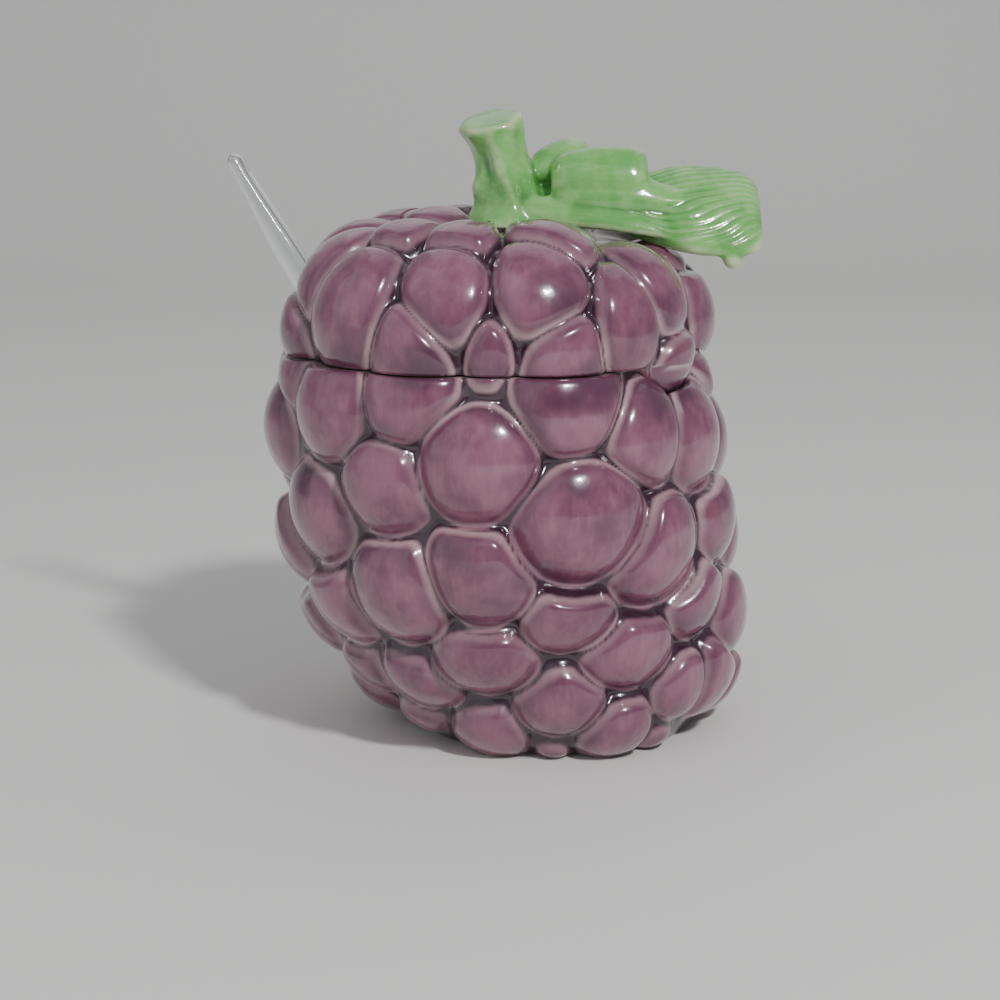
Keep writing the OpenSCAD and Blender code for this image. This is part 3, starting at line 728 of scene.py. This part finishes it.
def patches(tree, size_mm, detail=3.0, stretch=(1, 1, 1), rough=0.5):
    """Cloudy noise whose blots are size_mm across, on Object coordinates."""
    where = add(tree, "TexCoord", {}, {})["Object"]
    scale = tuple(k * 1000 / size_mm for k in stretch)
    turned = add(tree, "Mapping", {}, {"Vector": where, "Scale": scale})[0]
    return add(tree, "TexNoise", {}, {"Vector": turned, "Scale": 1.0, "Detail": detail,
                                      "Roughness": rough})[0]


def coats(tree, body, layers):
    """Colours laid over a first one. A coat's share grows from nothing to its most as its signal
    goes from start to end, on the cubic 3t^2 - 2t^3."""
    for signal, start, end, most, colour in layers:
        share = add(tree, "MapRange", EASED, {
            "Value": signal, "From Min": start, "From Max": end, "To Max": most})[0]
        body = add(tree, "Mix", COLOUR, {0: share, 6: body, 7: colour})[2]
    return body


def material_of(name, recipe):
    """A new material whose shader is a Principled one, with the inputs that its recipe gives."""
    material = bpy.data.materials.new(name)
    material.use_nodes = True
    tree = material.node_tree
    tree.nodes.clear()
    shader = add(tree, "BsdfPrincipled", {}, recipe(tree))[0]
    add(tree, "OutputMaterial", {}, {0: shader})
    return material


def glassy(body, roughness, bump):
    """Inputs for a fired glaze: a soft body under a clear coat of glass, which mirrors sharply."""
    return {"Base Color": body, "Roughness": roughness, "IOR": 1.5, "Coat Weight": 1.0,
            "Coat Roughness": 0.045, "Coat IOR": 1.5, "Normal": bump, "Coat Normal": bump}


def purple_glaze(tree):
    """Majolica glaze, brushed over slip-cast earthenware: it runs off the grapes' edges, where the
    pale clay shows through as a thin line, and pools dark in the sunk lines between them, where
    painted shade is added, with a band of painted shade beside them. Brush strokes and a second,
    darker coat leave streaks and clouds a few millimetres across; the darker coat also carries painted
    shade on one side of each grape and under the lid."""
    edge, tone_and_shade, bare, inner = (add(tree, "Attribute", {"attribute_name": key}, {})["Fac"]
                               for key in marks())
    cloud, fine = patches(tree, 9), patches(tree, 2.2, 4)
    streak = patches(tree, 1.7, 4, (1, 1, 0.3), 0.6)
    # the tone mark, partly each grape's own tone and partly painted shade, feeds the dark coat along
    # with cloudy patches
    own = add(tree, "Math", {"operation": "MULTIPLY"}, {0: tone_and_shade, 1: 0.4})[0]
    wash_and_shade = add(tree, "Math", SUM, {0: patches(tree, 11, 3), 1: 1.5, 2: own})[0]
    # distance from the edge in mm, plus an uneven 0 to 0.4
    rough_edge = add(tree, "Math", SUM, {0: fine, 1: 0.4, 2: edge})[0]
    # how strong the pale edge line is; it follows the tone mark, so partly each grape's own tone and
    # partly the painted shade on it
    pale_edge_share = add(tree, "MapRange", EASED, {
        "Value": tone_and_shade, "From Min": .15, "From Max": .85, "To Min": .25, "To Max": .85})[0]
    body = coats(tree, "#925c73", (
        (cloud, .36, .66, 1.0, "#77415b"), (streak, .42, .70, .22, "#b0808a"),
        # the band darker towards each grape's edge is painted shade where the grape rolls down into
        # the line
        (wash_and_shade, .84, 1.36, .85, "#4d2440"), (rough_edge, 3.8, 1.0, .42, "#582c47"),
        # pale line where the clay shows through thin glaze at the edge; the darkest colour in the
        # lines is pooled glaze with painted shade added
        (rough_edge, 1.65, .7, pale_edge_share, "#c3a0a6"), (rough_edge, .7, .15, 1.0, "#361a2d")))
    for share, colour in ((inner, "#d9c6c4"), (bare, "#d8cbb8")):
        body = add(tree, "Mix", COLOUR, {0: share, 6: body, 7: colour})[2]
    roughness = add(tree, "MapRange", EASED, {"Value": bare, "To Min": 0.22, "To Max": 0.85})[0]
    relief = add(tree, "Math", SUM, {0: streak, 1: 0.25, 2: patches(tree, 3.5, 2)})[0]
    bump = add(tree, "Bump", {}, {"Strength": 0.25, "Distance": 0.0003, "Height": relief})[0]
    return glassy(body, roughness, bump)


def green_glaze(tree):
    """The same kind of glaze in green: creamy where it thins over ridges and edges, a deeper green
    in the hollows, where it gathers and painted shade is added, and brushed along the leaf."""
    stands = add(tree, "Attribute", {"attribute_name": "stands"}, {})["Fac"]
    cloud, streak = patches(tree, 6), patches(tree, 1.4, 4, (0.16, 1, 1), 0.6)
    # how far the surface stands out in mm, plus an uneven 0 to 0.1
    uneven = add(tree, "Math", SUM, {0: cloud, 1: 0.10, 2: stands})[0]
    body = coats(tree, "#66b056", (
        (cloud, .35, .68, 1.0, "#86c86e"), (streak, .45, .70, .35, "#a2d685"),
        # deeper green in the hollows: gathered glaze with painted shade; cream where the glaze thins
        # over ridges
        (uneven, .04, -.06, .80, "#3d7f35"), (uneven, .08, .21, .85, "#d2deb0")))
    relief = patches(tree, 2.5, 3)
    bump = add(tree, "Bump", {}, {"Strength": 0.3, "Distance": 0.0003, "Height": relief})[0]
    return glassy(body, 0.22, bump)


def clear_acrylic(tree):
    """Clear acrylic, moulded and polished: it shows as bright edges and a faint grey body."""
    relief = patches(tree, 4, 1)
    bump = add(tree, "Bump", {}, {"Strength": 0.08, "Distance": 0.0002, "Height": relief})[0]
    return {"Base Color": "#f1f5f6", "Roughness": 0.04, "IOR": 1.49, "Transmission Weight": 1.0,
            "Normal": bump}


def matt_paper(tree):
    """Thick matt paper: even and without gloss."""
    return {"Base Color": "#eeedea", "Roughness": 0.8}


# The five pieces, each on the body it moves with and in place of its CAD node
purple = material_of("majolica_purple_glaze", purple_glaze)
green = material_of("majolica_green_glaze", green_glaze)
clear = material_of("clear_moulded_acrylic", clear_acrylic)
stem_piece, leaf_piece = knob_pieces(green)
rows, values = pot_rows()
pot_piece = skin("pot_body", rows, purple, values)
rows, values = lid_rows()
lid_piece = skin("lid_body", rows, purple, values)
spoon_piece = skin("spoon_clear", spoon_rows(), clear, {})
for piece, body, node in (
        (pot_piece, "pot", "pot"), (lid_piece, "lid", "lid"), (stem_piece, "lid", "stem"),
        (leaf_piece, "lid", "leaf"), (spoon_piece, "spoon", "spoon")):
    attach(piece, body)
    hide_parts(node)


# Stage, light and camera, in metres
def paper_sweep():
    """A pale sweep: floor and back wall in one sheet, joined by a quarter circle."""
    t = np.linspace(0, math.pi / 2, 24)
    y = np.concatenate([[-3.0, 0.9], 0.9 + 0.5 * np.sin(t), [1.4]])
    z = np.concatenate([[0, 0], 0.5 - 0.5 * np.cos(t), [3.0]])
    side = np.stack([0 * y, y, z], -1)
    points = np.concatenate([side - [4.0, 0, 0], side + [4.0, 0, 0]])
    i, n = np.arange(len(y) - 1), len(y)
    faces = np.stack([i, n + i, n + i + 1, i + 1], -1).tolist()
    paper = material_of("matt_paper_sweep", matt_paper)
    return mesh_piece("paper_sweep", points * 1000, faces, paper, {})


def lamp(name, place, aim, size, power):
    """A soft square area light at place, turned to face aim. Its power is in watts."""
    data = bpy.data.lights.new(name, "AREA")
    data.size, data.energy = size, power
    light = bpy.data.objects.new(name, data)
    light.location = place
    light.rotation_euler = (Vector(aim) - Vector(place)).to_track_quat("-Z", "Y").to_euler()
    bpy.context.scene.collection.objects.link(light)


paper_sweep()
lamp("key", (0.42, -0.75, 0.85), (0, 0, 0.05), 0.11, 9.0)
lamp("fill", (-1.1, -0.7, 0.9), (0, 0, 0.05), 2.2, 5.5)
lamp("back", (0.2, 0.9, 1.2), (0, 0, 0.08), 1.5, 2.5)
world = bpy.data.worlds.new("studio")
world.use_nodes = True
world.node_tree.nodes["Background"].inputs[0].default_value = linear("#c9cbd0")
world.node_tree.nodes["Background"].inputs[1].default_value = 0.45
bpy.context.scene.world = world

camera_data = bpy.data.cameras.new("camera")
camera_data.lens, camera_data.sensor_width = 72, 36
camera = bpy.data.objects.new("camera", camera_data)
camera.location = (-0.0117, -0.40887, 0.13291)
camera.rotation_euler = (math.radians(78), 0, 0)
bpy.context.scene.collection.objects.link(camera)
bpy.context.scene.camera = camera
